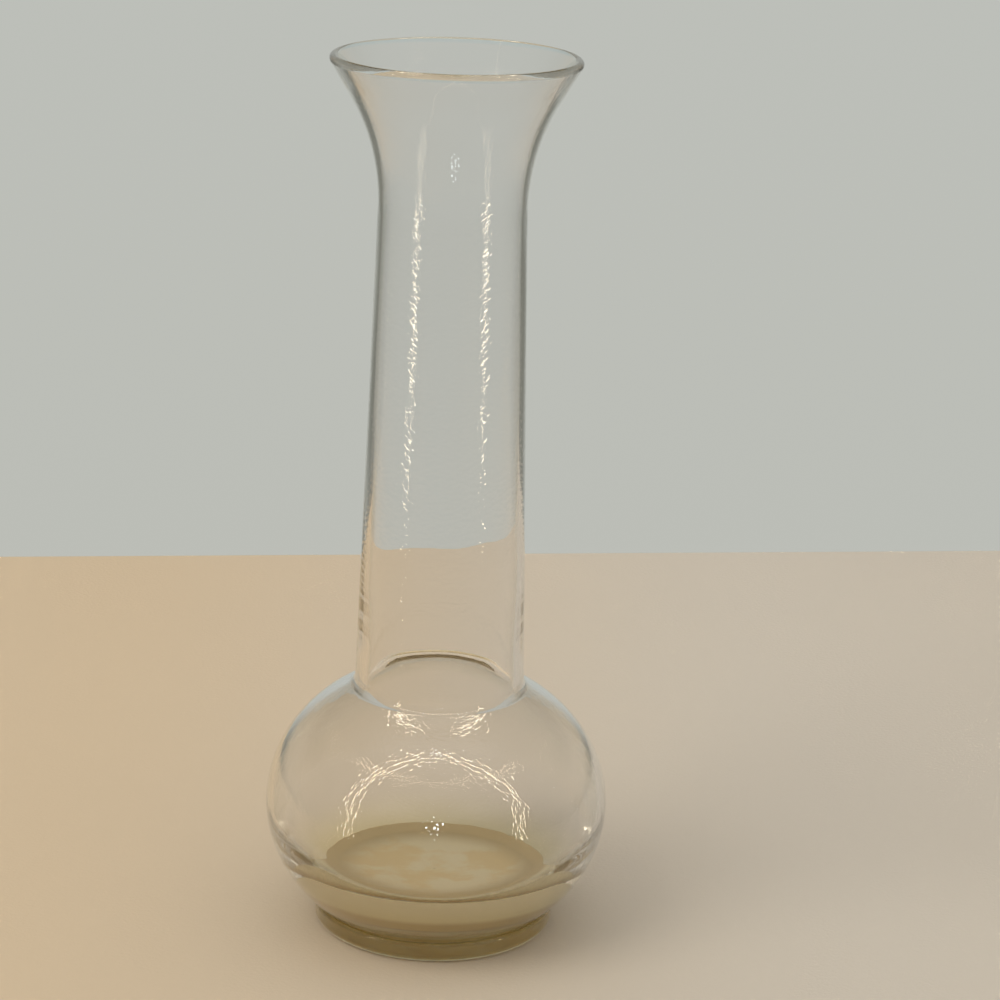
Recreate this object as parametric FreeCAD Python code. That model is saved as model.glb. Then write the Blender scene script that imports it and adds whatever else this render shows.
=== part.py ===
import FreeCAD, Part
import math
import os
from FreeCAD import Vector

# Hyacinth forcing vase in clear glass: foot, water reservoir, long neck, flared bulb cup and rounded rim.
# It is one blown vessel, turned about +Z, and each zone of the glass is a solid of its own.
# The zones meet face to face, and the outline and the bore run on smoothly from one to the next.
# The origin is the middle of the ring that the vase stands on. Lengths are millimetres, angles degrees.

# Foot, with a groove between it and the reservoir
foot_radius = 29.8
foot_height = 5.2
foot_lower_rounding = 2.3
foot_upper_rounding = 0.9
groove_depth = 1.0
standing_ring_width = 3.5
push_up_height = 2.2

# Reservoir: an oval outside, and inside a hollow that is flatter below its widest level than above it
reservoir_radius = 42.2
reservoir_half_height = 35.3
reservoir_wall = 1.8
shoulder_wall = 2.1
bottom_wall = 9.9
floor_radius = 25.5
floor_rounding = 2.5
shoulder_rounding = 2.5
throat_rounding = 3.0

# Neck: its wall thickens downwards, to a collar of thicker glass inside its lower end
throat_radius = 17.3
neck_taper_angle = 1.5
neck_wall = 1.25
neck_lower_wall = 2.0
collar_wall = 2.65
collar_length = 6.5
collar_fade_length = 15.0
collar_rounding = 80.0

# Bulb cup and rim
overall_height = 216.0
rim_radius = 29.5
rim_bead_radius = 1.15
cup_angle = 30.3
cup_thickening_angle = 1.6
flare_rounding = 50.0
joint_clearance = 2.0

# A rounding takes at most this share of the shorter stretch beside it
rounding_share = 0.95


def at(radius, height):
    return Vector(radius, 0, height)


def line(start, end):
    return Part.LineSegment(start, end).toShape()


def arc(start, middle, end):
    return Part.Arc(start, middle, end).toShape()


def slope_of(angle):
    return math.tan(math.radians(angle))


def crossing(point, slope, other_point, other_slope):
    """Where two lines meet, each given by a point and by how fast its radius grows with height."""
    gap = point.x - slope * point.z - other_point.x + other_slope * other_point.z
    height = gap / (other_slope - slope)
    return at(point.x + slope * (height - point.z), height)


def oval_drop(radius, half_height, level_radius):
    """How far under or over its widest level an oval has shrunk to a radius."""
    return half_height * math.sqrt(1 - (level_radius / radius) ** 2)


def oval_arc(radius, half_height, start_rise, end_rise):
    """The stretch of an upright oval round the axis between two heights over its widest level."""
    middle = reservoir_centre_height
    side, far_side, top = at(radius, middle), at(-radius, middle), at(0, middle + half_height)
    if radius >= half_height:
        oval, turn = Part.Ellipse(side, top, at(0, middle)), 0
    else:
        oval, turn = Part.Ellipse(top, far_side, at(0, middle)), math.pi / 2
    start, end = (math.asin(rise / half_height) - turn for rise in (start_rise, end_rise))
    return Part.ArcOfEllipse(oval, start, end).toShape()


def oval_rise_on_line(radius, half_height, point, slope):
    """How high over its widest level an oval meets a line that runs down to it from above."""
    start = point.x - slope * (point.z - reservoir_centre_height)
    square = (slope / radius) ** 2 + 1 / half_height ** 2
    linear = start * slope / radius ** 2
    rest = (start / radius) ** 2 - 1
    return (math.sqrt(linear ** 2 - square * rest) - linear) / square


def rounded(edges, roundings):
    """Joins edges end to end, with a tangent arc of the given radius at each corner."""
    side_plane = Part.Plane(Vector(0, 0, 0), Vector(0, -1, 0))
    done = [edges[0]]
    for after, radius in zip(edges[1:], roundings):
        before = done.pop()
        corner = before.valueAt(before.LastParameter)
        turn = before.tangentAt(before.LastParameter).getAngle(after.tangentAt(after.FirstParameter))
        room = rounding_share * min(before.Length, after.Length) / math.tan(turn / 2)
        fillet = Part.ChFi2d.FilletAPI()
        fillet.init(Part.Wire([before, after]), side_plane)
        fillet.perform(min(radius, room))
        bend, before, after = fillet.result(corner, -1)
        done += [before, bend, after]
    return done


def turned(edges):
    """The solid that a closed outline sweeps round the vase's axis."""
    face = Part.Face(Part.Wire(Part.sortEdges(edges)[0]))
    return face.revolve(Vector(0, 0, 0), Vector(0, 0, 1), 360)


# Rim: the round edge, and where the cup's two surfaces run into it
neck_slope = -slope_of(neck_taper_angle)
cup_slope = slope_of(cup_angle)
cup_inner_slope = slope_of(cup_angle + cup_thickening_angle)
bead_centre = at(rim_radius - rim_bead_radius, overall_height - rim_bead_radius)


def on_bead(angle):
    turn = math.radians(angle)
    return bead_centre + at(rim_bead_radius * math.cos(turn), rim_bead_radius * math.sin(turn))


lip_outside = on_bead(-cup_angle)
lip_inside = on_bead(180 - cup_angle - cup_thickening_angle)
lip_top = on_bead(90 - cup_angle)

# Neck: its straight outside would meet the cup's straight outside at the throat
throat = at(throat_radius, lip_outside.z - (lip_outside.x - throat_radius) / cup_slope)
flare_reach = flare_rounding * math.tan(math.radians(cup_angle + neck_taper_angle) / 2)
neck_top_height = throat.z - flare_reach - joint_clearance


def neck_outside(height):
    return at(throat.x + neck_slope * (height - throat.z), height)


def neck_inside(height, wall):
    return neck_outside(height) - at(wall, 0)


# Reservoir: it stands on the groove over the foot, and its oval runs up into the neck
groove_radius = foot_radius - groove_depth
groove_drop = oval_drop(reservoir_radius, reservoir_half_height, groove_radius)
reservoir_centre_height = foot_height + groove_drop
shoulder_rise = oval_rise_on_line(reservoir_radius, reservoir_half_height, throat, neck_slope)
shoulder_height = reservoir_centre_height + shoulder_rise
neck_base_height = shoulder_height + throat_rounding

# Bore: a straight taper from over the collar up into the cup
collar_top = neck_base_height + collar_length
fade_top = collar_top + collar_fade_length
bore_top, bore_bottom = neck_inside(neck_top_height, neck_wall), neck_inside(fade_top, neck_lower_wall)
bore_slope = (bore_top.x - bore_bottom.x) / (bore_top.z - bore_bottom.z)


def make_foot():
    """Solid disc with a rounded edge, which stands on a flat ring round a shallow push-up."""
    ring_outside = foot_radius - foot_lower_rounding
    ring_inside = ring_outside - standing_ring_width
    corner, top_corner = at(foot_radius, 0), at(foot_radius, foot_height)
    outside = rounded(
        [line(at(ring_inside, 0), corner), line(corner, top_corner), line(top_corner, at(0, foot_height))],
        [foot_lower_rounding, foot_upper_rounding],
    )
    dome_radius = (ring_inside**2 + push_up_height**2) / (2 * push_up_height)
    half_turn = math.asin(ring_inside / dome_radius) / 2
    dome_middle = at(dome_radius * math.sin(half_turn), push_up_height - dome_radius * (1 - math.cos(half_turn)))
    push_up = arc(at(0, push_up_height), dome_middle, at(ring_inside, 0))
    return turned(outside + [push_up, line(at(0, push_up_height), at(0, foot_height))])


def make_reservoir():
    """Round bowl with a thick flat floor, from the groove over the foot up into the start of the neck."""
    neck_end = neck_outside(neck_base_height)
    outside = rounded(
        [
            oval_arc(reservoir_radius, reservoir_half_height, -groove_drop, shoulder_rise),
            line(neck_outside(shoulder_height), neck_end),
        ],
        [shoulder_rounding],
    )
    hollow_radius = reservoir_radius - reservoir_wall
    upper_half_height = reservoir_half_height - shoulder_wall
    lower_half_height = reservoir_half_height - bottom_wall
    floor_drop = oval_drop(hollow_radius, lower_half_height, floor_radius)
    floor_height = reservoir_centre_height - floor_drop
    bore_end = neck_inside(neck_base_height, collar_wall)
    throat_rise = oval_rise_on_line(hollow_radius, upper_half_height, bore_end, neck_slope)
    throat_start = neck_inside(reservoir_centre_height + throat_rise, collar_wall)
    lower_inside = rounded(
        [
            line(at(0, floor_height), at(floor_radius, floor_height)),
            oval_arc(hollow_radius, lower_half_height, -floor_drop, 0),
        ],
        [floor_rounding],
    )
    upper_inside = rounded(
        [oval_arc(hollow_radius, upper_half_height, 0, throat_rise), line(throat_start, bore_end)],
        [throat_rounding],
    )
    ends = [
        line(at(0, floor_height), at(0, foot_height)),
        line(at(0, foot_height), at(groove_radius, foot_height)),
        line(neck_end, bore_end),
    ]
    return turned(outside + lower_inside + upper_inside + ends)


def make_neck():
    """Tapering tube, whose wall thickens downwards, to a collar inside its lower end."""
    bore = [
        neck_inside(neck_base_height, collar_wall),
        neck_inside(collar_top, collar_wall),
        bore_bottom,
        bore_top,
    ]
    inside = rounded([line(low, high) for low, high in zip(bore, bore[1:])], [collar_rounding] * 2)
    base, top = neck_outside(neck_base_height), neck_outside(neck_top_height)
    return turned([line(base, top)] + inside + [line(base, bore[0]), line(top, bore[-1])])


def make_bulb_cup():
    """Flared mouth whose wall thickens a little towards the rim."""
    base, bore = neck_outside(neck_top_height), bore_top
    inner_throat = crossing(bore, bore_slope, lip_inside, cup_inner_slope)
    outside = rounded([line(base, throat), line(throat, lip_outside)], [flare_rounding])
    inside = rounded([line(bore, inner_throat), line(inner_throat, lip_inside)], [flare_rounding + neck_wall])
    return turned(outside + inside + [line(base, bore), line(lip_outside, lip_inside)])


def make_rim_bead():
    """Round edge of the mouth, which runs smoothly into both sides of the cup."""
    return turned([arc(lip_outside, lip_top, lip_inside), line(lip_inside, lip_outside)])


pieces = {
    "foot": make_foot(),
    "reservoir": make_reservoir(),
    "neck": make_neck(),
    "bulb_cup": make_bulb_cup(),
    "rim_bead": make_rim_bead(),
}

os.makedirs("parts", exist_ok=True)
for name, solid in pieces.items():
    solid.exportStep("parts/" + name + ".step")
    box = solid.BoundBox
    print(
        f"{name}: valid {solid.isValid()}, solids {len(solid.Solids)}, volume {solid.Volume:.0f} mm3,"
        f" radius {box.XMax:.2f}, height {box.ZMin:.2f} to {box.ZMax:.2f}"
    )
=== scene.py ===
import math

import bpy
import numpy as np
from mathutils import Matrix, Vector


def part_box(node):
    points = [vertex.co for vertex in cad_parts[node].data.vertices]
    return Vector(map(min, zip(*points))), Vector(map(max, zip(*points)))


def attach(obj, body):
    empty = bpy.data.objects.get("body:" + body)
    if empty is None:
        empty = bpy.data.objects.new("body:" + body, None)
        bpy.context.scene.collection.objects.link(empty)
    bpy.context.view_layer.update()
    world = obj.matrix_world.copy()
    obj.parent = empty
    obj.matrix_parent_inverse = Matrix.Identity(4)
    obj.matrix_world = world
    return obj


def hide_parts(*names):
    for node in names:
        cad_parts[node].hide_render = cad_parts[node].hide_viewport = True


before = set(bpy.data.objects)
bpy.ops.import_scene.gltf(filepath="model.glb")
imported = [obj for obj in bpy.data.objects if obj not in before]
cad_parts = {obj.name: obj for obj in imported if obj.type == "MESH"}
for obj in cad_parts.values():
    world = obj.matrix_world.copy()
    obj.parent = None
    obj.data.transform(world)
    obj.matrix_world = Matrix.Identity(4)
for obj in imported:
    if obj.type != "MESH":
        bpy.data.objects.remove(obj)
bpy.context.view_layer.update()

# Hyacinth forcing vase in clear blown glass, on a pale cloth-coloured floor before a pale backdrop.
# The vessel is turned about Z. Its five zones are closed pieces of their own, which meet on level joints
# inside the glass. Lengths are metres, angles degrees, and a (radius, height) pair is a point of an outline.

MM = 0.001

# Joints between the zones, from the frame
FOOT_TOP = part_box("foot")[1].z
RESERVOIR_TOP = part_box("reservoir")[1].z
NECK_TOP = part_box("neck")[1].z
VASE_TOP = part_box("rim_bead")[1].z

# Foot
FOOT_RADIUS = 29.8 * MM
FOOT_LOWER_ROUNDING = 2.3 * MM
FOOT_UPPER_ROUNDING = 0.9 * MM
GROOVE_RADIUS = 28.8 * MM
STANDING_RING_WIDTH = 3.5 * MM
PUSH_UP_HEIGHT = 2.2 * MM

# Reservoir
RESERVOIR_RADIUS = 42.2 * MM
RESERVOIR_HALF_HEIGHT = 35.3 * MM
HOLLOW_RADIUS = 40.4 * MM
HOLLOW_UPPER_HALF_HEIGHT = 33.2 * MM
HOLLOW_LOWER_HALF_HEIGHT = 25.4 * MM
FLOOR_RADIUS = 25.5 * MM
FLOOR_ROUNDING = 2.5 * MM
SHOULDER_ROUNDING = 2.5 * MM
THROAT_ROUNDING = 3.0 * MM

# Neck
THROAT_RADIUS = 17.3 * MM
NECK_TAPER_ANGLE = 1.5
NECK_WALL = 1.25 * MM
NECK_LOWER_WALL = 2.0 * MM
COLLAR_WALL = 2.65 * MM
COLLAR_LENGTH = 6.5 * MM
COLLAR_FADE_LENGTH = 15.0 * MM
COLLAR_ROUNDING = 80.0 * MM

# Bulb cup and rim
RIM_RADIUS = 29.5 * MM
RIM_BEAD_RADIUS = 1.15 * MM
CUP_ANGLE = 30.3
CUP_THICKENING_ANGLE = 1.6
FLARE_ROUNDING = 50.0 * MM

# Mesh: points round the vase, the longest step along an outline and its most turn
POINTS_ROUND = 340
LONGEST_STEP = 2.4 * MM
INNER_LONGEST_STEP = 0.8 * MM
FILM_EDGE_LONGEST_STEP = 0.25 * MM
MOST_TURN = 5.0
FINE_STEPS = 600
JOINT_GAP = 0.003 * MM

# Radius under which a point is on the axis, and the least step, cross product and normal that count
AXIS_RADIUS = 1e-9
LEAST_STEP = 1e-9
LEAST_CROSS = 1e-18
LEAST_NORMAL = 1e-16

# Unevenness of the blown glass, outside and in. Each wave has its share, its number round the vase, its
# drift with height and its phase.
OUTER_UNEVENNESS = 0.05 * MM
INNER_UNEVENNESS = 0.06 * MM
LEVEL_FOOT_HEIGHT = 6.0 * MM
WAVES = ((0.45, 2, 5.0, 0.6), (0.30, 3, -9.0, 2.1), (0.15, 5, 14.0, 0.0), (0.10, 9, -21.0, 1.3))

# Photograph's camera, and its frame of 1000 pixels
PHOTO_WIDTH = 1000
CAMERA_FOCAL_PIXELS = 3047
CAMERA_PLACE = (0.0, -0.7030, 0.3234)
CAMERA_PITCH = 16.96
CAMERA_YAW = 1.09
CAMERA_ROLL = 1.95
CAMERA_CLIP_START = 0.05

# Glass
GLASS_IOR = 1.5
GLASS_COLOUR = (0.964, 0.962, 0.958)
THICK_GLASS_COLOUR = (1.0, 0.97, 0.63)
THICK_GLASS_RANGE = (20.0 * MM, 4.0 * MM)
FOOT_EDGE_RANGE = (22.0 * MM, 28.0 * MM)
EDGE_COLOUR = (0.70, 0.73, 0.68)
EDGE_BLEND = 0.5
EDGE_RANGE = (0.55, 1.0)
EVEN_GLOSS = 0.08
INNER_EVEN_GLOSS = 0.05
# Cool tint of the rim bead: painted light, which turns the warm light seen through the bead cool white.
RIM_PAINTED_COOL_TINT = (0.88, 0.96, 1.0)
INNER_GLOSS = 0.03
DIMPLE_SCALE = 900.0
DIMPLE_HEIGHT = 0.06 * MM
STREAK_SCALE = 350.0
STREAK_HEIGHT = 0.02 * MM
STREAK_STRETCH = (1.0, 1.0, 0.03)
RIPPLE_DETAIL = 1.0
PATCH_DETAIL = 6.0
PATCH_ROUGHNESS = 0.6
MARK_SCALE = 80.0
MARK_LEAST = 0.60
MARK_MOST = 0.80
MARK_ROUGHNESS = 0.12

# Film of hard water on the inner floor, which rises up the wall in front
FILM_HEIGHT = 1.8 * MM
FILM_RISE = 7.5 * MM
FILM_RISE_RANGE = (0.1, 0.7)
FILM_COLOUR = (0.96, 0.72, 0.35)
FILM_PALE_COLOUR = (1.0, 0.83, 0.50)
FILM_EDGE_COLOUR = (0.76, 0.57, 0.28)
FILM_EDGE_RANGE = (17.0 * MM, 26.0 * MM)
FILM_WALL_COLOUR = (1.0, 0.86, 0.54)
FILM_WALL_RANGE = (28.5 * MM, 31.0 * MM)
FILM_LEAST = 0.42
FILM_MOST = 0.56
FILM_ROUGHNESS = 0.5
FILM_TRANSMISSION = 0.1
FILM_PATCH_SCALE = 75.0
FILM_GRAIN_SCALE = 1500.0
FILM_GRAIN_HEIGHT = 0.02 * MM

# Floor. Its warm and cool colours are painted light: warmer light on the left, cooler light on the right.
FLOOR_WARM_LIGHT_COLOUR = (0.62, 0.49, 0.33)
FLOOR_COOL_LIGHT_COLOUR = (0.60, 0.54, 0.45)
FLOOR_LIGHT_TINT_REACH = 0.12
FLOOR_FAR = 0.29
FLOOR_NEAR = 0.40
FLOOR_SIDE = 0.40
FLOOR_TURN = 6.3
FLOOR_CLEARANCE = 0.02 * MM
FLOOR_ROUGHNESS = 0.9
PILE_SCALE = 900.0
PILE_DETAIL = 3.0
PILE_STRENGTH = 0.3
PILE_HEIGHT = 0.3 * MM

# World and lamp. Edges are angles in degrees, and depths count the glass surfaces that a ray has passed.
LIGHT_COLOUR = (1.0, 0.98, 0.95)
LIGHT_LEVEL = 0.75
DEEP_LIGHT_LEVEL = 1.2
DEEP_RANGE = (5.0, 6.0)
INNER_DEPTH = 4.0
DEPTH_MARGIN = 0.5
BACKDROP_COLOUR = (0.52, 0.54, 0.51)
BACKDROP_LOW_COLOUR = (0.50, 0.51, 0.47)
BACKDROP_LOW_EDGE = (-20.0, 10.0)
BACKDROP_EDGE = (13.0, 30.0)
SIDE_COLOUR = (0.48, 0.41, 0.31)
SIDE_LOW_COLOUR = (0.20, 0.20, 0.17)
SIDE_LOW_EDGE = (-8.0, 2.0)
SKY_COLOUR = (0.20, 0.18, 0.13)
SKY_EDGE = (8.0, 24.0)
CEILING_COLOUR = (0.72, 0.73, 0.70)
CEILING_EDGE = (52.0, 66.0)
GROUND_COLOUR = (0.47, 0.44, 0.38)
GROUND_EDGE = (-10.0, -16.0)
GROUND_SIDE_EDGE = (40.0, 50.0)
ROOM_EDGE = (60.0, 110.0)
ROOM_COLOUR = (0.34, 0.31, 0.26)
ARCH_CIRCLE = ((0, 1, -0.216), -0.53)
ARCH_HALF_WIDTH = 0.014
ARCH_COLOUR = (1.0, 0.86, 0.62)
ARCH_LIGHT = 40.0
ARCH_FOOT = (-0.45, -0.3)
INNER_ARCH_CIRCLE = ((0, 1, 0.165), -0.53)
INNER_ARCH_FOOT = (-0.3, -0.2)
INNER_ARCH_LIGHT = 130.0
RING_CIRCLE = ((0, 0.364, 0.931), 0.951)
RING_HALF_WIDTH = 0.008
RING_COLOUR = (1.0, 0.89, 0.70)
RING_LIGHT = 22.0
WINDOW_HALF_ANGLE = 3.0
WINDOW_ELEVATION = 13.0
WINDOW_HALF_HEIGHT = 3.0
INNER_WINDOW_ELEVATION = 3.0
INNER_WINDOW_HALF_HEIGHT = 4.0
WINDOW_COLOUR = (0.85, 0.95, 1.0)
WINDOW_LIGHT = 40.0
INNER_WINDOW_LIGHT = 300.0
LAMP_PLACE = (-0.9, -0.6, 1.2)
LAMP_SIZE = 0.9
LAMP_POWER = 8.0
LAMP_COLOUR = (1.0, 0.96, 0.9)
MOST_BOUNCES = 96

CLEAR, INNER, RIM, FILMED, FUSED = range(5)


def point(radius, height):
    return np.array([radius, height])


def slope_of(angle):
    return math.tan(math.radians(angle))


def straight(start, end):
    """Points from start to end: start + share (end - start)."""
    share = np.linspace(0, 1, FINE_STEPS)[:, None]
    return start + share * (end - start)


def joint(start, end):
    """The two ends of a joint between zones, which is one straight run."""
    return np.array([start, end])


def bend(centre, radius, start_angle, end_angle):
    """Points on a circle: centre + radius (cos t, sin t), with t from one angle to the other."""
    t = np.radians(np.linspace(start_angle, end_angle, FINE_STEPS))
    return centre + radius * np.stack([np.cos(t), np.sin(t)], 1)


def oval(radius, half_height, start_rise, end_rise):
    """Points on the reservoir's ovals: (radius cos t, middle + half_height sin t), where the sine is
    rise / half_height."""
    t = np.linspace(math.asin(start_rise / half_height), math.asin(end_rise / half_height), FINE_STEPS)
    return np.stack([radius * np.cos(t), RESERVOIR_MIDDLE + half_height * np.sin(t)], 1)


def parallel(path, distance):
    """The path moved sideways by distance, square to its own tangent."""
    along = np.gradient(path, axis=0, edge_order=2)
    along /= np.linalg.norm(along, axis=1)[:, None]
    return path + distance * np.stack([-along[:, 1], along[:, 0]], 1)


def crossing(first, second):
    """Where two paths cross: (place on first, place on second), counted in steps, by solving each pair
    of steps."""
    p, r = first[:-1, None], np.diff(first, axis=0)[:, None]
    q, s = second[None, :-1], np.diff(second, axis=0)[None, :]
    cross = r[..., 0] * s[..., 1] - r[..., 1] * s[..., 0]
    cross = np.where(np.abs(cross) < LEAST_CROSS, np.nan, cross)
    gap = q - p
    t = (gap[..., 0] * s[..., 1] - gap[..., 1] * s[..., 0]) / cross
    u = (gap[..., 0] * r[..., 1] - gap[..., 1] * r[..., 0]) / cross
    hit = np.argwhere((t >= 0) & (t <= 1) & (u >= 0) & (u <= 1))[-1]
    i, j = hit
    return i + t[i, j], j + u[i, j]


def place_on(path, step):
    i = min(int(step), len(path) - 2)
    return path[i] + (step - i) * (path[i + 1] - path[i])


def rounded(paths, roundings):
    """Joins paths end to end with a tangent arc at each corner. An arc's centre is where the parallels of its
    two paths, its radius away on the inner side of the turn, cross each other."""
    done = [paths[0]]
    for after, radius in zip(paths[1:], roundings):
        before = done.pop()
        into, out = before[-1] - before[-2], after[1] - after[0]
        side = math.copysign(radius, into[0] * out[1] - into[1] * out[0])
        first, second = parallel(before, side), parallel(after, side)
        i, j = crossing(first, second)
        centre = place_on(first, i)
        start, end = place_on(before, i) - centre, place_on(after, j) - centre
        from_angle = math.degrees(math.atan2(start[1], start[0]))
        turn = math.degrees(math.atan2(start[0] * end[1] - start[1] * end[0], start @ end))
        arc = bend(centre, radius, from_angle, from_angle + turn)
        done += [before[: int(i) + 1], arc, after[int(j) + 1 :]]
    whole = np.concatenate(done)
    apart = np.linalg.norm(np.diff(whole, axis=0), axis=1) > LEAST_STEP
    return whole[np.concatenate([[True], apart])]


def spaced(path, longest_step):
    """Fewer points on a path: evenly spaced in length / longest_step, which is given for each point, + turn /
    MOST_TURN, the ends kept."""
    step = np.diff(path, axis=0)
    length = np.linalg.norm(step, axis=1)
    heading = np.unwrap(np.arctan2(step[:, 1], step[:, 0]))
    turn = np.degrees(np.abs(np.gradient(heading)))
    weight = np.concatenate([[0], np.cumsum(length / longest_step[1:] + turn / MOST_TURN)])
    steps = max(2, math.ceil(weight[-1]))
    wanted = np.linspace(0, weight[-1], steps + 1)
    return np.stack([np.interp(wanted, weight, path[:, k]) for k in range(2)], 1)


# Rim: the round edge, and where the cup's two surfaces run into it
NECK_SLOPE = -slope_of(NECK_TAPER_ANGLE)
CUP_SLOPE = slope_of(CUP_ANGLE)
CUP_INNER_SLOPE = slope_of(CUP_ANGLE + CUP_THICKENING_ANGLE)
BEAD_CENTRE = point(RIM_RADIUS - RIM_BEAD_RADIUS, VASE_TOP - RIM_BEAD_RADIUS)
BEAD_OUTER_ANGLE = -CUP_ANGLE
BEAD_INNER_ANGLE = 180 - CUP_ANGLE - CUP_THICKENING_ANGLE


def on_bead(angle):
    return bend(BEAD_CENTRE, RIM_BEAD_RADIUS, angle, angle)[0]


LIP_OUTSIDE, LIP_INSIDE = on_bead(BEAD_OUTER_ANGLE), on_bead(BEAD_INNER_ANGLE)
THROAT = point(THROAT_RADIUS, LIP_OUTSIDE[1] - (LIP_OUTSIDE[0] - THROAT_RADIUS) / CUP_SLOPE)


def neck_outside(height):
    return point(THROAT[0] + NECK_SLOPE * (height - THROAT[1]), height)


def neck_inside(height, wall):
    return neck_outside(height) - point(wall, 0)


# Bore: a straight taper from over the collar up into the cup
COLLAR_TOP = RESERVOIR_TOP + COLLAR_LENGTH
FADE_TOP = COLLAR_TOP + COLLAR_FADE_LENGTH
BORE_TOP, BORE_BOTTOM = neck_inside(NECK_TOP, NECK_WALL), neck_inside(FADE_TOP, NECK_LOWER_WALL)
BORE_SLOPE = (BORE_TOP[0] - BORE_BOTTOM[0]) / (BORE_TOP[1] - BORE_BOTTOM[1])

# Reservoir: it stands on the groove over the foot, and its oval runs up into the neck
GROOVE_DROP = RESERVOIR_HALF_HEIGHT * math.sqrt(1 - (GROOVE_RADIUS / RESERVOIR_RADIUS) ** 2)
RESERVOIR_MIDDLE = FOOT_TOP + GROOVE_DROP
FLOOR_DROP = HOLLOW_LOWER_HALF_HEIGHT * math.sqrt(1 - (FLOOR_RADIUS / HOLLOW_RADIUS) ** 2)
FLOOR_HEIGHT = RESERVOIR_MIDDLE - FLOOR_DROP
FLOOR_MIDDLE, UNDER_FLOOR = point(0, FLOOR_HEIGHT), point(0, FOOT_TOP)


def rise_on_line(radius, half_height, wall):
    """How high over its middle an oval meets the neck's line, moved in by wall: the upper root of the square
    equation."""
    start = neck_inside(RESERVOIR_MIDDLE, wall)[0]
    square = (NECK_SLOPE / radius) ** 2 + 1 / half_height**2
    linear = start * NECK_SLOPE / radius**2
    rest = (start / radius) ** 2 - 1
    return (math.sqrt(linear**2 - square * rest) - linear) / square


def foot_outline():
    """Standing ring and rounded edge up to the groove, the joint over it, and the push-up under it, as smooth
    runs."""
    ring_outside = FOOT_RADIUS - FOOT_LOWER_ROUNDING
    ring_inside = ring_outside - STANDING_RING_WIDTH
    corner, top_corner = point(FOOT_RADIUS, 0), point(FOOT_RADIUS, FOOT_TOP)
    groove = point(GROOVE_RADIUS, FOOT_TOP)
    outside = rounded(
        [straight(point(ring_inside, 0), corner), straight(corner, top_corner), straight(top_corner, groove)],
        [FOOT_LOWER_ROUNDING, FOOT_UPPER_ROUNDING],
    )
    dome_radius = (ring_inside**2 + PUSH_UP_HEIGHT**2) / (2 * PUSH_UP_HEIGHT)
    half_turn = math.degrees(math.asin(ring_inside / dome_radius))
    dome = bend(point(0, PUSH_UP_HEIGHT - dome_radius), dome_radius, 90, 90 - half_turn)
    return [dome, outside, joint(groove, UNDER_FLOOR)]


def reservoir_outline():
    """Bowl outside from the groove to the neck, the ring joint, the hollow down to the flat floor, and the
    foot's joint."""
    rise = rise_on_line(RESERVOIR_RADIUS, RESERVOIR_HALF_HEIGHT, 0)
    neck_end, bore_end = neck_outside(RESERVOIR_TOP), neck_inside(RESERVOIR_TOP, COLLAR_WALL)
    outside = rounded(
        [
            oval(RESERVOIR_RADIUS, RESERVOIR_HALF_HEIGHT, -GROOVE_DROP, rise),
            straight(neck_outside(RESERVOIR_MIDDLE + rise), neck_end),
        ],
        [SHOULDER_ROUNDING],
    )
    throat_rise = rise_on_line(HOLLOW_RADIUS, HOLLOW_UPPER_HALF_HEIGHT, COLLAR_WALL)
    throat_start = neck_inside(RESERVOIR_MIDDLE + throat_rise, COLLAR_WALL)
    inside = rounded(
        [
            straight(bore_end, throat_start),
            oval(HOLLOW_RADIUS, HOLLOW_UPPER_HALF_HEIGHT, throat_rise, 0),
        ],
        [THROAT_ROUNDING],
    )
    lower = rounded(
        [
            oval(HOLLOW_RADIUS, HOLLOW_LOWER_HALF_HEIGHT, 0, -FLOOR_DROP),
            straight(point(FLOOR_RADIUS, FLOOR_HEIGHT), FLOOR_MIDDLE),
        ],
        [FLOOR_ROUNDING],
    )
    inside = np.concatenate([inside, lower[1:]])
    return [outside, joint(neck_end, bore_end), inside, joint(UNDER_FLOOR, point(GROOVE_RADIUS, FOOT_TOP))]


def neck_outline():
    """Tapering tube, whose wall thickens downwards, to a collar inside its lower end."""
    collar = [neck_inside(height, COLLAR_WALL) for height in (RESERVOIR_TOP, COLLAR_TOP)]
    bore = [*collar, BORE_BOTTOM, BORE_TOP]
    inside = rounded([straight(low, high) for low, high in zip(bore, bore[1:])], [COLLAR_ROUNDING] * 2)
    base, top = neck_outside(RESERVOIR_TOP), neck_outside(NECK_TOP)
    return [straight(base, top), joint(top, bore[-1]), inside[::-1], joint(bore[0], base)]


def bulb_cup_outline():
    """Flared mouth, whose wall thickens a little towards the rim."""
    base, bore = neck_outside(NECK_TOP), BORE_TOP
    gap = bore[0] - BORE_SLOPE * bore[1] - LIP_INSIDE[0] + CUP_INNER_SLOPE * LIP_INSIDE[1]
    height = gap / (CUP_INNER_SLOPE - BORE_SLOPE)
    inner_throat = point(bore[0] + BORE_SLOPE * (height - bore[1]), height)
    outside = rounded([straight(base, THROAT), straight(THROAT, LIP_OUTSIDE)], [FLARE_ROUNDING])
    inside = [straight(bore, inner_throat), straight(inner_throat, LIP_INSIDE)]
    inside = rounded(inside, [FLARE_ROUNDING + NECK_WALL])
    return [outside, joint(LIP_OUTSIDE, LIP_INSIDE), inside[::-1], joint(bore, base)]


def rim_bead_outline():
    """Round edge of the mouth, which runs smoothly into both sides of the cup."""
    edge = bend(BEAD_CENTRE, RIM_BEAD_RADIUS, BEAD_OUTER_ANGLE, BEAD_INNER_ANGLE)
    return [edge, joint(LIP_INSIDE, LIP_OUTSIDE)]


def unevenness(angle, height, inside):
    """How far the glass stands out at a place, as slow waves round the vase whose phases drift with its
    height."""
    z = height / VASE_TOP
    waves = sum(share * np.sin(number * angle + drift * z + phase) for share, number, drift, phase in WAVES)
    level = np.clip(height / LEVEL_FOOT_HEIGHT, 0, 1) ** 2
    return waves * level * (INNER_UNEVENNESS if inside else OUTER_UNEVENNESS)


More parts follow.
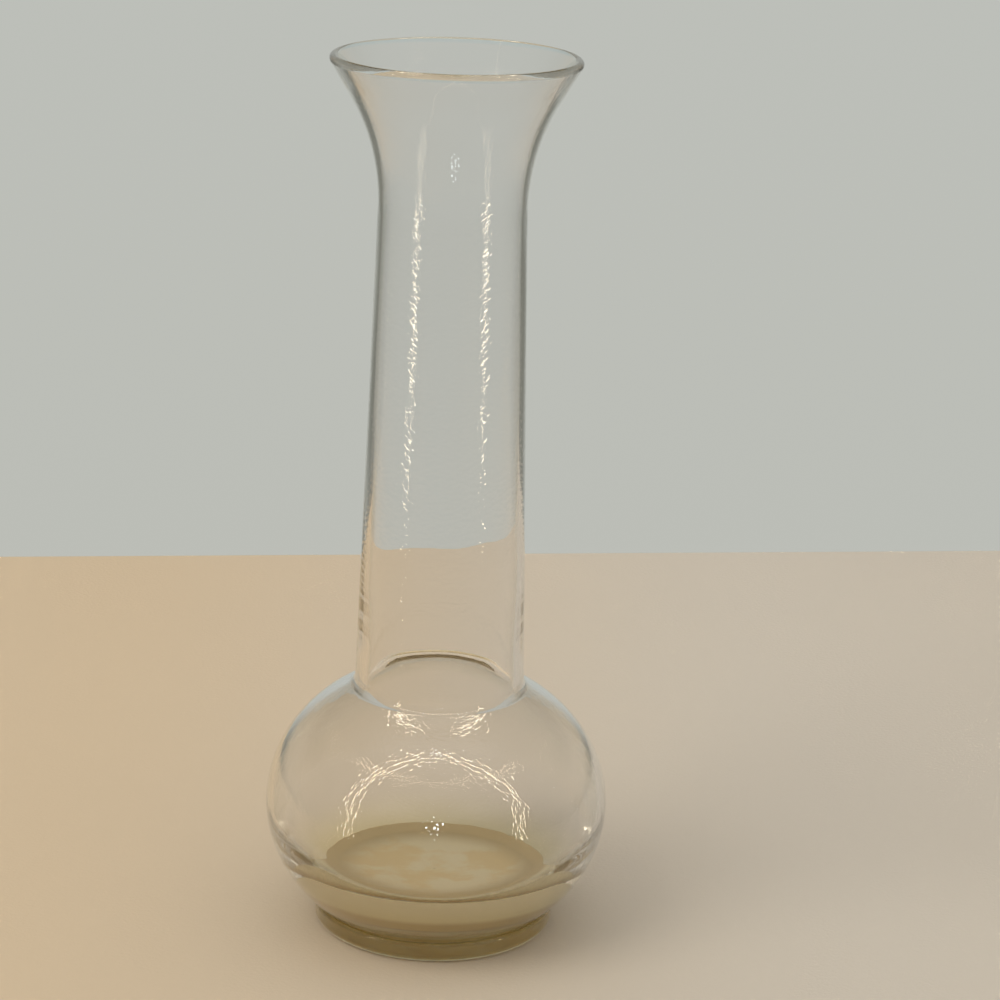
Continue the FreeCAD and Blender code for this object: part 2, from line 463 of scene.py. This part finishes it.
def wall_grid(path, inside):
    """Points (r cos a, r sin a, z) of an outline's path, one row for each of its points, moved along its normal
    by the unevenness, and the swept surface's own normals, the cross product of its two directions."""
    angle = np.linspace(0, 2 * math.pi, POINTS_ROUND, endpoint=False)[None, :]
    run = np.concatenate([[0], np.cumsum(np.linalg.norm(np.diff(path, axis=0), axis=1))])
    along = np.gradient(path, run, axis=0, edge_order=2)
    along /= np.linalg.norm(along, axis=1)[:, None]
    move = unevenness(angle, path[:, 1:], inside)
    radius = path[:, :1] + along[:, 1:] * move
    height = path[:, 1:] - along[:, :1] * move
    radius = np.where(path[:, :1] < AXIS_RADIUS, 0, radius)
    grid = np.stack([radius * np.cos(angle), radius * np.sin(angle), height + 0 * angle], -1)
    up = np.gradient(grid, run, axis=0, edge_order=2)
    round_about = np.roll(grid, -1, 1) - np.roll(grid, 1, 1)
    normals = np.cross(round_about, up)
    length = np.linalg.norm(normals, axis=2, keepdims=True)
    straight_out = np.stack([0 * angle + 0 * height, 0 * angle + 0 * height, -along[:, :1] + 0 * angle], -1)
    unit = normals / np.maximum(length, LEAST_NORMAL)
    return grid, np.where(length > LEAST_NORMAL, unit, straight_out)


def film_edge_heights():
    """Height of the film's edge at each point round the vase: it rises up the wall in front, which is at -Y."""
    front = -np.sin(np.linspace(0, 2 * math.pi, POINTS_ROUND, endpoint=False))
    share = np.clip((front - FILM_RISE_RANGE[0]) / (FILM_RISE_RANGE[1] - FILM_RISE_RANGE[0]), 0, 1)
    return FLOOR_HEIGHT + FILM_HEIGHT + FILM_RISE * share**2 * (3 - 2 * share)


def is_joint(path):
    """Whether a path is a joint between two zones, which has two points. Every wall has many more."""
    return len(path) == 2


def turned(name, outline):
    """Mesh of the surface that a closed outline sweeps round Z. Walls come as grids, and inner walls are filmed
    under the film's edge, where their rows are finer. A joint is one band between the rings at its two ends, or
    a fan round the axis, drawn back into its piece by half the joint gap. Corners keep the walls' own normals, so
    that the surface stays smooth from one piece to the next."""
    rings, strips = [], []

    def ring(points):
        rings.append(points)
        return len(rings) - 1

    film_edge = film_edge_heights()
    ends = {}
    for k, path in enumerate(outline):
        if is_joint(path):
            continue
        inside = path[0][1] > path[-1][1] and path[len(path) // 2][1] > FOOT_TOP
        over_film = path[:, 1] - FLOOR_HEIGHT - FILM_HEIGHT
        at_film_edge = inside & (over_film > 0) & (over_film < FILM_RISE)
        inner_step = np.where(at_film_edge, FILM_EDGE_LONGEST_STEP, INNER_LONGEST_STEP)
        path = spaced(path, inner_step if inside else np.full(len(path), LONGEST_STEP))
        grid, normals = wall_grid(path, inside)
        rows = [ring(row[:1] if abs(row[0, 0]) < AXIS_RADIUS else row) for row in grid]
        ends[k] = rows[0], rows[-1]
        for i in range(len(rows) - 1):
            slot = RIM if name == "glass_rim_bead" else INNER if inside else CLEAR
            slots = np.where(inside & (path[i][1] < film_edge), FILMED, slot)
            strips.append((rows[i], rows[i + 1], normals[i], normals[i + 1], slots))
    last = len(outline) - 1
    for k, path in enumerate(outline):
        if not is_joint(path):
            continue
        across = (path[1] - path[0]) / np.linalg.norm(path[1] - path[0])
        out = np.array([across[1], 0, -across[0]])
        found = []
        for end, neighbour, which in ((path[0], k - 1, 1), (path[1], k + 1 if k < last else 0, 0)):
            if end[0] < AXIS_RADIUS:
                found.append(ring(np.array([[0, 0, end[1]]])))
            else:
                found.append(ends[neighbour % len(outline)][which])
        for r in found:
            flat_part = rings[r][:, :2]
            away = flat_part / np.maximum(np.linalg.norm(flat_part, axis=1), AXIS_RADIUS)[:, None]
            shift = np.column_stack([away * out[0], np.full(len(flat_part), out[2])])
            rings[r] = rings[r] - JOINT_GAP / 2 * shift
        flat = np.tile(out, (POINTS_ROUND, 1))
        strips.append((found[0], found[1], flat, flat, np.full(POINTS_ROUND, FUSED)))
    return mesh_of(name, rings, strips)


def mesh_of(name, rings, strips):
    """Mesh of strips of faces between rings of points, each corner with the normal given for it."""
    starts = np.cumsum([0] + [len(r) for r in rings])
    faces, normals, slots = [], [], []
    here = np.arange(POINTS_ROUND)
    ahead = np.roll(here, -1)
    for low, high, low_normals, high_normals, strip_slots in strips:
        corners = [(low, here, low_normals), (low, ahead, low_normals)]
        corners += [(high, ahead, high_normals), (high, here, high_normals)]
        if len(rings[low]) == 1:
            corners.pop(1)
        if len(rings[high]) == 1:
            corners.pop(2)
        corner_points = [starts[r] + (at if len(rings[r]) > 1 else 0 * at) for r, at, _ in corners]
        faces += np.stack(corner_points, 1).tolist()
        normals.append(np.stack([n[at] for _, at, n in corners], 1).reshape(-1, 3))
        slots += strip_slots.tolist()
    mesh = bpy.data.meshes.new(name)
    mesh.from_pydata(np.concatenate(rings).tolist(), [], faces)
    mesh.polygons.foreach_set("material_index", slots)
    mesh.polygons.foreach_set("use_smooth", [True] * len(faces))
    mesh.normals_split_custom_set(np.concatenate(normals).tolist())
    mesh.update()
    return mesh


class Tree:
    """Short ways to add nodes to a shader tree, set their values and link them."""

    def __init__(self, tree):
        self.tree = tree

    def node(self, kind, values=None, **settings):
        """A new node. settings are its own fields, and values its inputs: a plain value, or an output to
        link."""
        made = self.tree.nodes.new(kind)
        for field, value in settings.items():
            setattr(made, field, value)
        for key, value in (values or {}).items():
            if isinstance(value, bpy.types.NodeSocket):
                self.tree.links.new(value, made.inputs[key])
            else:
                made.inputs[key].default_value = value
        return made

    def maths(self, operation, *values):
        return self.node("ShaderNodeMath", dict(enumerate(values)), operation=operation).outputs[0]

    def smooth(self, value, low, high, to_low=0.0, to_high=1.0):
        """Smooth step from to_low to to_high as value goes from low to high."""
        made = self.node("ShaderNodeMapRange", {0: value, 1: low, 2: high, 3: to_low, 4: to_high})
        made.interpolation_type = "SMOOTHSTEP"
        return made.outputs[0]

    def mix(self, share, first, second):
        """Colour that goes from first to second as share goes from 0 to 1."""
        made = self.node("ShaderNodeMix", data_type="RGBA")
        for socket, value in ((made.inputs[0], share), (made.inputs[6], first), (made.inputs[7], second)):
            if isinstance(value, bpy.types.NodeSocket):
                self.tree.links.new(value, socket)
            elif socket.type == "RGBA":
                socket.default_value = (*value, 1)
            else:
                socket.default_value = value
        return made.outputs[2]


def new_group(name, inputs, outputs):
    """Empty shader node group with named number inputs and named outputs. Returns its tree helper, input and
    output."""
    group = bpy.data.node_groups.new(name, "ShaderNodeTree")
    for key in inputs:
        group.interface.new_socket(key, in_out="INPUT", socket_type="NodeSocketFloat")
    for key, kind in outputs.items():
        group.interface.new_socket(key, in_out="OUTPUT", socket_type=kind)
    tree = Tree(group)
    return tree, tree.node("NodeGroupInput"), tree.node("NodeGroupOutput")


def mottle_group():
    """Mask of soft uneven patches, from 0 to 1, as handling marks or a dried film leave them."""
    tree, given, out = new_group(
        "uneven patches", ["Patch Scale", "Least", "Most"], {"Mask": "NodeSocketFloat"}
    )
    place = tree.node("ShaderNodeTexCoord").outputs["Object"]
    noise = tree.node(
        "ShaderNodeTexNoise",
        {"Vector": place, "Scale": given.outputs[0], "Detail": PATCH_DETAIL, "Roughness": PATCH_ROUGHNESS},
    )
    mask = tree.smooth(noise.outputs["Fac"], given.outputs[1], given.outputs[2])
    tree.tree.links.new(mask, out.inputs[0])
    return tree.tree


def new_material(name):
    material = bpy.data.materials.new(name)
    material.use_nodes = True
    material.node_tree.nodes.clear()
    return material, Tree(material.node_tree)


def use(tree, group, **values):
    """Places a node group in a material with its own values."""
    made = tree.node("ShaderNodeGroup", node_tree=group)
    for key, value in values.items():
        made.inputs[key.replace("_", " ")].default_value = value
    return made


def ripple_normal(tree, scale, height, stretch=(1.0, 1.0, 1.0)):
    """Normal of a surface with ripples: noise, stretched along Z where the glass was drawn."""
    place = tree.node("ShaderNodeTexCoord").outputs["Object"]
    drawn = tree.node("ShaderNodeMapping", {"Vector": place, "Scale": stretch}).outputs[0]
    noise = tree.node("ShaderNodeTexNoise", {"Vector": drawn, "Scale": scale, "Detail": RIPPLE_DETAIL})
    bump = tree.node("ShaderNodeBump", {"Height": noise.outputs["Fac"], "Strength": 1.0, "Distance": height})
    return bump.outputs[0]


def from_axis(tree):
    """How far a place is from the vase's axis."""
    place = tree.node("ShaderNodeTexCoord").outputs["Object"]
    level = tree.node("ShaderNodeVectorMath", {0: place, 1: (1, 1, 0)}, operation="MULTIPLY").outputs[0]
    return tree.node("ShaderNodeVectorMath", {0: level}, operation="LENGTH").outputs["Value"]


def dimple_normal(tree, scale, height):
    """Normal of a surface with shallow dimples side by side, as a mould leaves them: each is a bowl whose height
    grows with the square of the distance from its middle."""
    place = tree.node("ShaderNodeTexCoord").outputs["Object"]
    away = tree.node("ShaderNodeTexVoronoi", {"Vector": place, "Scale": scale}).outputs["Distance"]
    bowl = tree.maths("POWER", away, 2.0)
    bump = tree.node("ShaderNodeBump", {"Height": bowl, "Strength": 1.0, "Distance": height})
    return bump.outputs[0]


def clear_glass(name, tint, even_gloss, gloss_seen, gloss_through):
    """Soda-lime glass: nearly clear face on, grey-green where it is seen along its wall, a little olive in the
    thick bottom, with faint marks of handling and the dimples of the mould. The two shares of its gloss are for
    a wall that is seen straight and for one that is seen through another wall."""
    material, tree = new_material(name)
    facing = tree.node("ShaderNodeLayerWeight", {"Blend": EDGE_BLEND}).outputs["Facing"]
    edge = tree.smooth(facing, *EDGE_RANGE)
    place = tree.node("ShaderNodeTexCoord").outputs["Object"]
    height = tree.node("ShaderNodeSeparateXYZ", {0: place}).outputs[2]
    low = tree.smooth(height, *THICK_GLASS_RANGE)
    thick = tree.maths("MULTIPLY", low, tree.smooth(from_axis(tree), *FOOT_EDGE_RANGE))
    colour = tree.mix(thick, tree.mix(edge, tint, EDGE_COLOUR), THICK_GLASS_COLOUR)
    marks = use(tree, MOTTLE, Patch_Scale=MARK_SCALE, Least=MARK_LEAST, Most=MARK_MOST)
    rough = tree.maths("MULTIPLY", marks.outputs[0], MARK_ROUGHNESS)
    from_outside = tree.maths("SUBTRACT", 1.0, tree.node("ShaderNodeNewGeometry").outputs["Backfacing"])
    passed = tree.maths("MINIMUM", tree.node("ShaderNodeLightPath").outputs["Transmission Depth"], 1.0)
    gloss = tree.maths("MULTIPLY", from_outside, tree.smooth(passed, 0.0, 1.0, gloss_seen, gloss_through))
    shader = tree.node(
        "ShaderNodeBsdfPrincipled",
        {
            "Base Color": colour,
            "Roughness": rough,
            "IOR": GLASS_IOR,
            "Transmission Weight": 1.0,
            "Specular Tint": (*[even_gloss] * 3, 1),
            "Coat Weight": gloss,
            "Coat Roughness": 0.0,
            "Coat Normal": dimple_normal(tree, DIMPLE_SCALE, DIMPLE_HEIGHT),
            "Normal": ripple_normal(tree, STREAK_SCALE, STREAK_HEIGHT, STREAK_STRETCH),
        },
    )
    tree.node("ShaderNodeOutputMaterial", {"Surface": shader.outputs[0]})
    return material


def filmed_glass():
    """Inner floor with a dried film of hard water: tan, hazy and patchy."""
    material, tree = new_material("glass_with_water_film")
    patches = use(tree, MOTTLE, Patch_Scale=FILM_PATCH_SCALE, Least=FILM_LEAST, Most=FILM_MOST)
    colour = tree.mix(patches.outputs[0], FILM_COLOUR, FILM_PALE_COLOUR)
    colour = tree.mix(tree.smooth(from_axis(tree), *FILM_EDGE_RANGE), colour, FILM_EDGE_COLOUR)
    colour = tree.mix(tree.smooth(from_axis(tree), *FILM_WALL_RANGE), colour, FILM_WALL_COLOUR)
    shader = tree.node(
        "ShaderNodeBsdfPrincipled",
        {
            "Base Color": colour,
            "Roughness": FILM_ROUGHNESS,
            "IOR": GLASS_IOR,
            "Transmission Weight": FILM_TRANSMISSION,
            "Normal": ripple_normal(tree, FILM_GRAIN_SCALE, FILM_GRAIN_HEIGHT),
        },
    )
    tree.node("ShaderNodeOutputMaterial", {"Surface": shader.outputs[0]})
    return material


def fused_joint():
    """Inside the glass, where two zones are one: nothing shows."""
    material, tree = new_material("fused_joint")
    clear = tree.node("ShaderNodeBsdfTransparent", {"Color": (1, 1, 1, 1)})
    tree.node("ShaderNodeOutputMaterial", {"Surface": clear.outputs[0]})
    return material


def floor_material():
    """Cream cloth with a faint pile. Its colour holds painted light: warm on the left and a little cooler on the
    right, as the light falls.
    """
    material, tree = new_material("pale_floor")
    place = tree.node("ShaderNodeTexCoord").outputs["Object"]
    across = tree.node("ShaderNodeSeparateXYZ", {0: place}).outputs[0]
    # Painted light: the colour turns from the warm light on the left to the cooler light on the right.
    cool = tree.smooth(across, -FLOOR_LIGHT_TINT_REACH, FLOOR_LIGHT_TINT_REACH)
    colour = tree.mix(cool, FLOOR_WARM_LIGHT_COLOUR, FLOOR_COOL_LIGHT_COLOUR)
    pile = tree.node("ShaderNodeTexNoise", {"Vector": place, "Scale": PILE_SCALE, "Detail": PILE_DETAIL})
    bump = tree.node(
        "ShaderNodeBump", {"Height": pile.outputs["Fac"], "Strength": PILE_STRENGTH, "Distance": PILE_HEIGHT}
    )
    shader = tree.node(
        "ShaderNodeBsdfPrincipled", {"Base Color": colour, "Roughness": FLOOR_ROUGHNESS, "Normal": bump.outputs[0]}
    )
    tree.node("ShaderNodeOutputMaterial", {"Surface": shader.outputs[0]})
    return material


def make_floor():
    """Level square of floor, turned about Z so that its far edge looks level in the rolled camera."""
    turn = math.radians(FLOOR_TURN)
    far, near, side = FLOOR_FAR, -FLOOR_NEAR, FLOOR_SIDE
    corners = np.array([[-side, near], [side, near], [side, far], [-side, far]])
    spin = np.array([[math.cos(turn), -math.sin(turn)], [math.sin(turn), math.cos(turn)]])
    mesh = bpy.data.meshes.new("floor")
    mesh.from_pydata([(*(spin @ c), -FLOOR_CLEARANCE) for c in corners], [], [(0, 1, 2, 3)])
    mesh.materials.append(floor_material())
    floor = bpy.data.objects.new("floor", mesh)
    bpy.context.collection.objects.link(floor)


def make_world():
    """Studio round the vase. Diffuse rays get plain even light, more of it deep in the glass. What is seen,
    mirrored or seen through the glass is a pale backdrop that darkens to the sides, and a grey room. Mirrored rays
    also find warm bands of light and a small cool window: one set before they have passed any glass, and an inner
    set after INNER_DEPTH surfaces."""
    world = bpy.data.worlds.new("studio")
    world.use_nodes = True
    world.node_tree.nodes.clear()
    tree = Tree(world.node_tree)
    ray = tree.node("ShaderNodeLightPath")
    whole_way = tree.node("ShaderNodeTexCoord").outputs["Generated"]
    way = tree.node("ShaderNodeSeparateXYZ", {0: whole_way})
    x, y, z = way.outputs[:3]
    azimuth = tree.maths("MULTIPLY", tree.maths("ARCTAN2", x, y), 180 / math.pi)
    elevation = tree.maths("MULTIPLY", tree.maths("ARCSINE", z), 180 / math.pi)
    aside = tree.maths("ABSOLUTE", azimuth)
    backdrop = tree.mix(tree.smooth(elevation, *BACKDROP_LOW_EDGE), BACKDROP_LOW_COLOUR, BACKDROP_COLOUR)
    side = tree.mix(tree.smooth(elevation, *SIDE_LOW_EDGE), SIDE_LOW_COLOUR, SIDE_COLOUR)
    surround = tree.mix(tree.smooth(aside, *BACKDROP_EDGE), backdrop, side)
    surround = tree.mix(tree.smooth(elevation, *SKY_EDGE), surround, SKY_COLOUR)
    room = tree.mix(tree.smooth(aside, *ROOM_EDGE), surround, ROOM_COLOUR)
    low = tree.smooth(elevation, *GROUND_EDGE)
    low_side = tree.maths("MULTIPLY", low, tree.smooth(aside, *GROUND_SIDE_EDGE))
    room = tree.mix(low_side, room, GROUND_COLOUR)
    overhead = tree.maths("MULTIPLY", tree.smooth(elevation, *CEILING_EDGE), tree.smooth(aside, *ROOM_EDGE))
    room = tree.mix(overhead, room, CEILING_COLOUR)
    seen = tree.node("ShaderNodeEmission", {"Color": room, "Strength": 1.0})

    def light(place, half_width, colour, level, mask=1.0):
        """Band of light where place is nearly 0, brightest along its middle."""
        band = tree.smooth(tree.maths("ABSOLUTE", place), half_width, 0.0)
        strength = tree.maths("MULTIPLY", tree.maths("MULTIPLY", band, mask), level)
        return tree.node("ShaderNodeEmission", {"Color": (*colour, 1), "Strength": strength}).outputs[0]

    def masked(*masks):
        return tree.maths("MULTIPLY", *masks)

    def window_at(elevation_angle, half_height, level, mask):
        """Small cool light straight behind the camera."""
        off_level = tree.maths("ABSOLUTE", tree.maths("SUBTRACT", elevation, elevation_angle))
        height_mask = masked(mask, tree.smooth(off_level, half_height, 0.0))
        off_side = tree.maths("SUBTRACT", 180.0, aside)
        return light(off_side, WINDOW_HALF_ANGLE, WINDOW_COLOUR, level, height_mask)

    def along(direction, offset):
        """How far the way points along a direction, less an offset: 0 on a circle round that direction."""
        dot = tree.node("ShaderNodeVectorMath", {0: whole_way, 1: direction}, operation="DOT_PRODUCT")
        return tree.maths("SUBTRACT", dot.outputs["Value"], offset)

    def arch_at(circle, level, mask, foot):
        """Warm arch on a circle, which fades out towards its feet."""
        return light(along(*circle), ARCH_HALF_WIDTH, ARCH_COLOUR, level, masked(mask, tree.smooth(z, *foot)))

    depth = ray.outputs["Transmission Depth"]
    outer = tree.maths("LESS_THAN", depth, DEPTH_MARGIN)
    inner = tree.maths("COMPARE", depth, INNER_DEPTH, DEPTH_MARGIN)
    arch = arch_at(ARCH_CIRCLE, ARCH_LIGHT, outer, ARCH_FOOT)
    inner_arch = arch_at(INNER_ARCH_CIRCLE, INNER_ARCH_LIGHT, inner, INNER_ARCH_FOOT)
    ring = light(along(*RING_CIRCLE), RING_HALF_WIDTH, RING_COLOUR, RING_LIGHT, outer)
    window = window_at(WINDOW_ELEVATION, WINDOW_HALF_HEIGHT, WINDOW_LIGHT, outer)
    inner_window = window_at(INNER_WINDOW_ELEVATION, INNER_WINDOW_HALF_HEIGHT, INNER_WINDOW_LIGHT, inner)
    lights = tree.node("ShaderNodeAddShader", {0: arch, 1: ring})
    for more in (inner_arch, window, inner_window):
        lights = tree.node("ShaderNodeAddShader", {0: lights.outputs[0], 1: more})
    reflected = tree.maths("MINIMUM", ray.outputs["Glossy Depth"], 1.0)
    unlit = tree.node("ShaderNodeEmission", {"Strength": 0.0})
    shown = tree.node("ShaderNodeMixShader", {0: reflected, 1: unlit.outputs[0], 2: lights.outputs[0]})
    mirrored = tree.node("ShaderNodeAddShader", {0: seen.outputs[0], 1: shown.outputs[0]})
    deep = tree.smooth(depth, *DEEP_RANGE, LIGHT_LEVEL, DEEP_LIGHT_LEVEL)
    plain = tree.node("ShaderNodeEmission", {"Color": (*LIGHT_COLOUR, 1), "Strength": deep})
    looks = tree.maths("MAXIMUM", ray.outputs["Is Glossy Ray"], ray.outputs["Is Transmission Ray"])
    looks = tree.maths("MULTIPLY", looks, tree.maths("LESS_THAN", ray.outputs["Diffuse Depth"], DEPTH_MARGIN))
    through = tree.node("ShaderNodeMixShader", {0: looks, 1: plain.outputs[0], 2: mirrored.outputs[0]})
    straight_on = ray.outputs["Is Camera Ray"]
    whole = tree.node("ShaderNodeMixShader", {0: straight_on, 1: through.outputs[0], 2: seen.outputs[0]})
    tree.node("ShaderNodeOutputWorld", {"Surface": whole.outputs[0]})
    bpy.context.scene.world = world


def make_camera():
    """Plain camera at the photograph's place. Roll turns it so that the top of the vase leans right."""
    pitch, yaw, roll = (math.radians(a) for a in (CAMERA_PITCH, CAMERA_YAW, CAMERA_ROLL))
    forward = Vector((math.sin(yaw) * math.cos(pitch), math.cos(yaw) * math.cos(pitch), -math.sin(pitch)))
    level = Vector((math.cos(yaw), -math.sin(yaw), 0))
    up = level.cross(forward)
    right, top = math.cos(roll) * level + math.sin(roll) * up, math.cos(roll) * up - math.sin(roll) * level
    lens = bpy.data.cameras.new("camera")
    lens.lens = lens.sensor_width * CAMERA_FOCAL_PIXELS / PHOTO_WIDTH
    lens.clip_start = CAMERA_CLIP_START
    camera = bpy.data.objects.new("camera", lens)
    turn = Matrix((right, top, -forward)).transposed().to_4x4()
    camera.matrix_world = Matrix.Translation(CAMERA_PLACE) @ turn
    bpy.context.collection.objects.link(camera)
    bpy.context.scene.camera = camera


def make_lamp():
    """Broad soft lamp high on the left, which gives the floor its soft shadow."""
    data = bpy.data.lights.new("soft_lamp", "AREA")
    data.size = LAMP_SIZE
    data.energy = LAMP_POWER
    data.color = LAMP_COLOUR
    lamp = bpy.data.objects.new("soft_lamp", data)
    place = Vector(LAMP_PLACE)
    lamp.rotation_mode = "QUATERNION"
    lamp.rotation_quaternion = place.to_track_quat("Z", "Y")
    lamp.location = place
    lamp.visible_glossy = False
    lamp.visible_transmission = False
    lamp.visible_camera = False
    bpy.context.collection.objects.link(lamp)


MOTTLE = mottle_group()
MATERIALS = [
    clear_glass("clear_glass", GLASS_COLOUR, EVEN_GLOSS, 1.0, 1.0),
    clear_glass("clear_glass_inside", GLASS_COLOUR, INNER_EVEN_GLOSS, INNER_GLOSS, 1.0),
    # The rim bead's cool tint is painted light, not a colour of the glass.
    clear_glass("clear_glass_rim", RIM_PAINTED_COOL_TINT, EVEN_GLOSS, INNER_GLOSS, INNER_GLOSS),
    filmed_glass(),
    fused_joint(),
]

OUTLINES = {
    "foot": foot_outline,
    "reservoir": reservoir_outline,
    "neck": neck_outline,
    "bulb_cup": bulb_cup_outline,
    "rim_bead": rim_bead_outline,
}
for node, outline in OUTLINES.items():
    mesh = turned("glass_" + node, outline())
    for material in MATERIALS:
        mesh.materials.append(material)
    piece = bpy.data.objects.new("glass_" + node, mesh)
    bpy.context.collection.objects.link(piece)
    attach(piece, "root")
    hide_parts(node)

make_floor()
make_world()
make_lamp()
make_camera()

scene = bpy.context.scene
scene.view_settings.view_transform = "Standard"
scene.cycles.max_bounces = MOST_BOUNCES
scene.cycles.transmission_bounces = MOST_BOUNCES
scene.cycles.glossy_bounces = MOST_BOUNCES
scene.cycles.transparent_max_bounces = MOST_BOUNCES
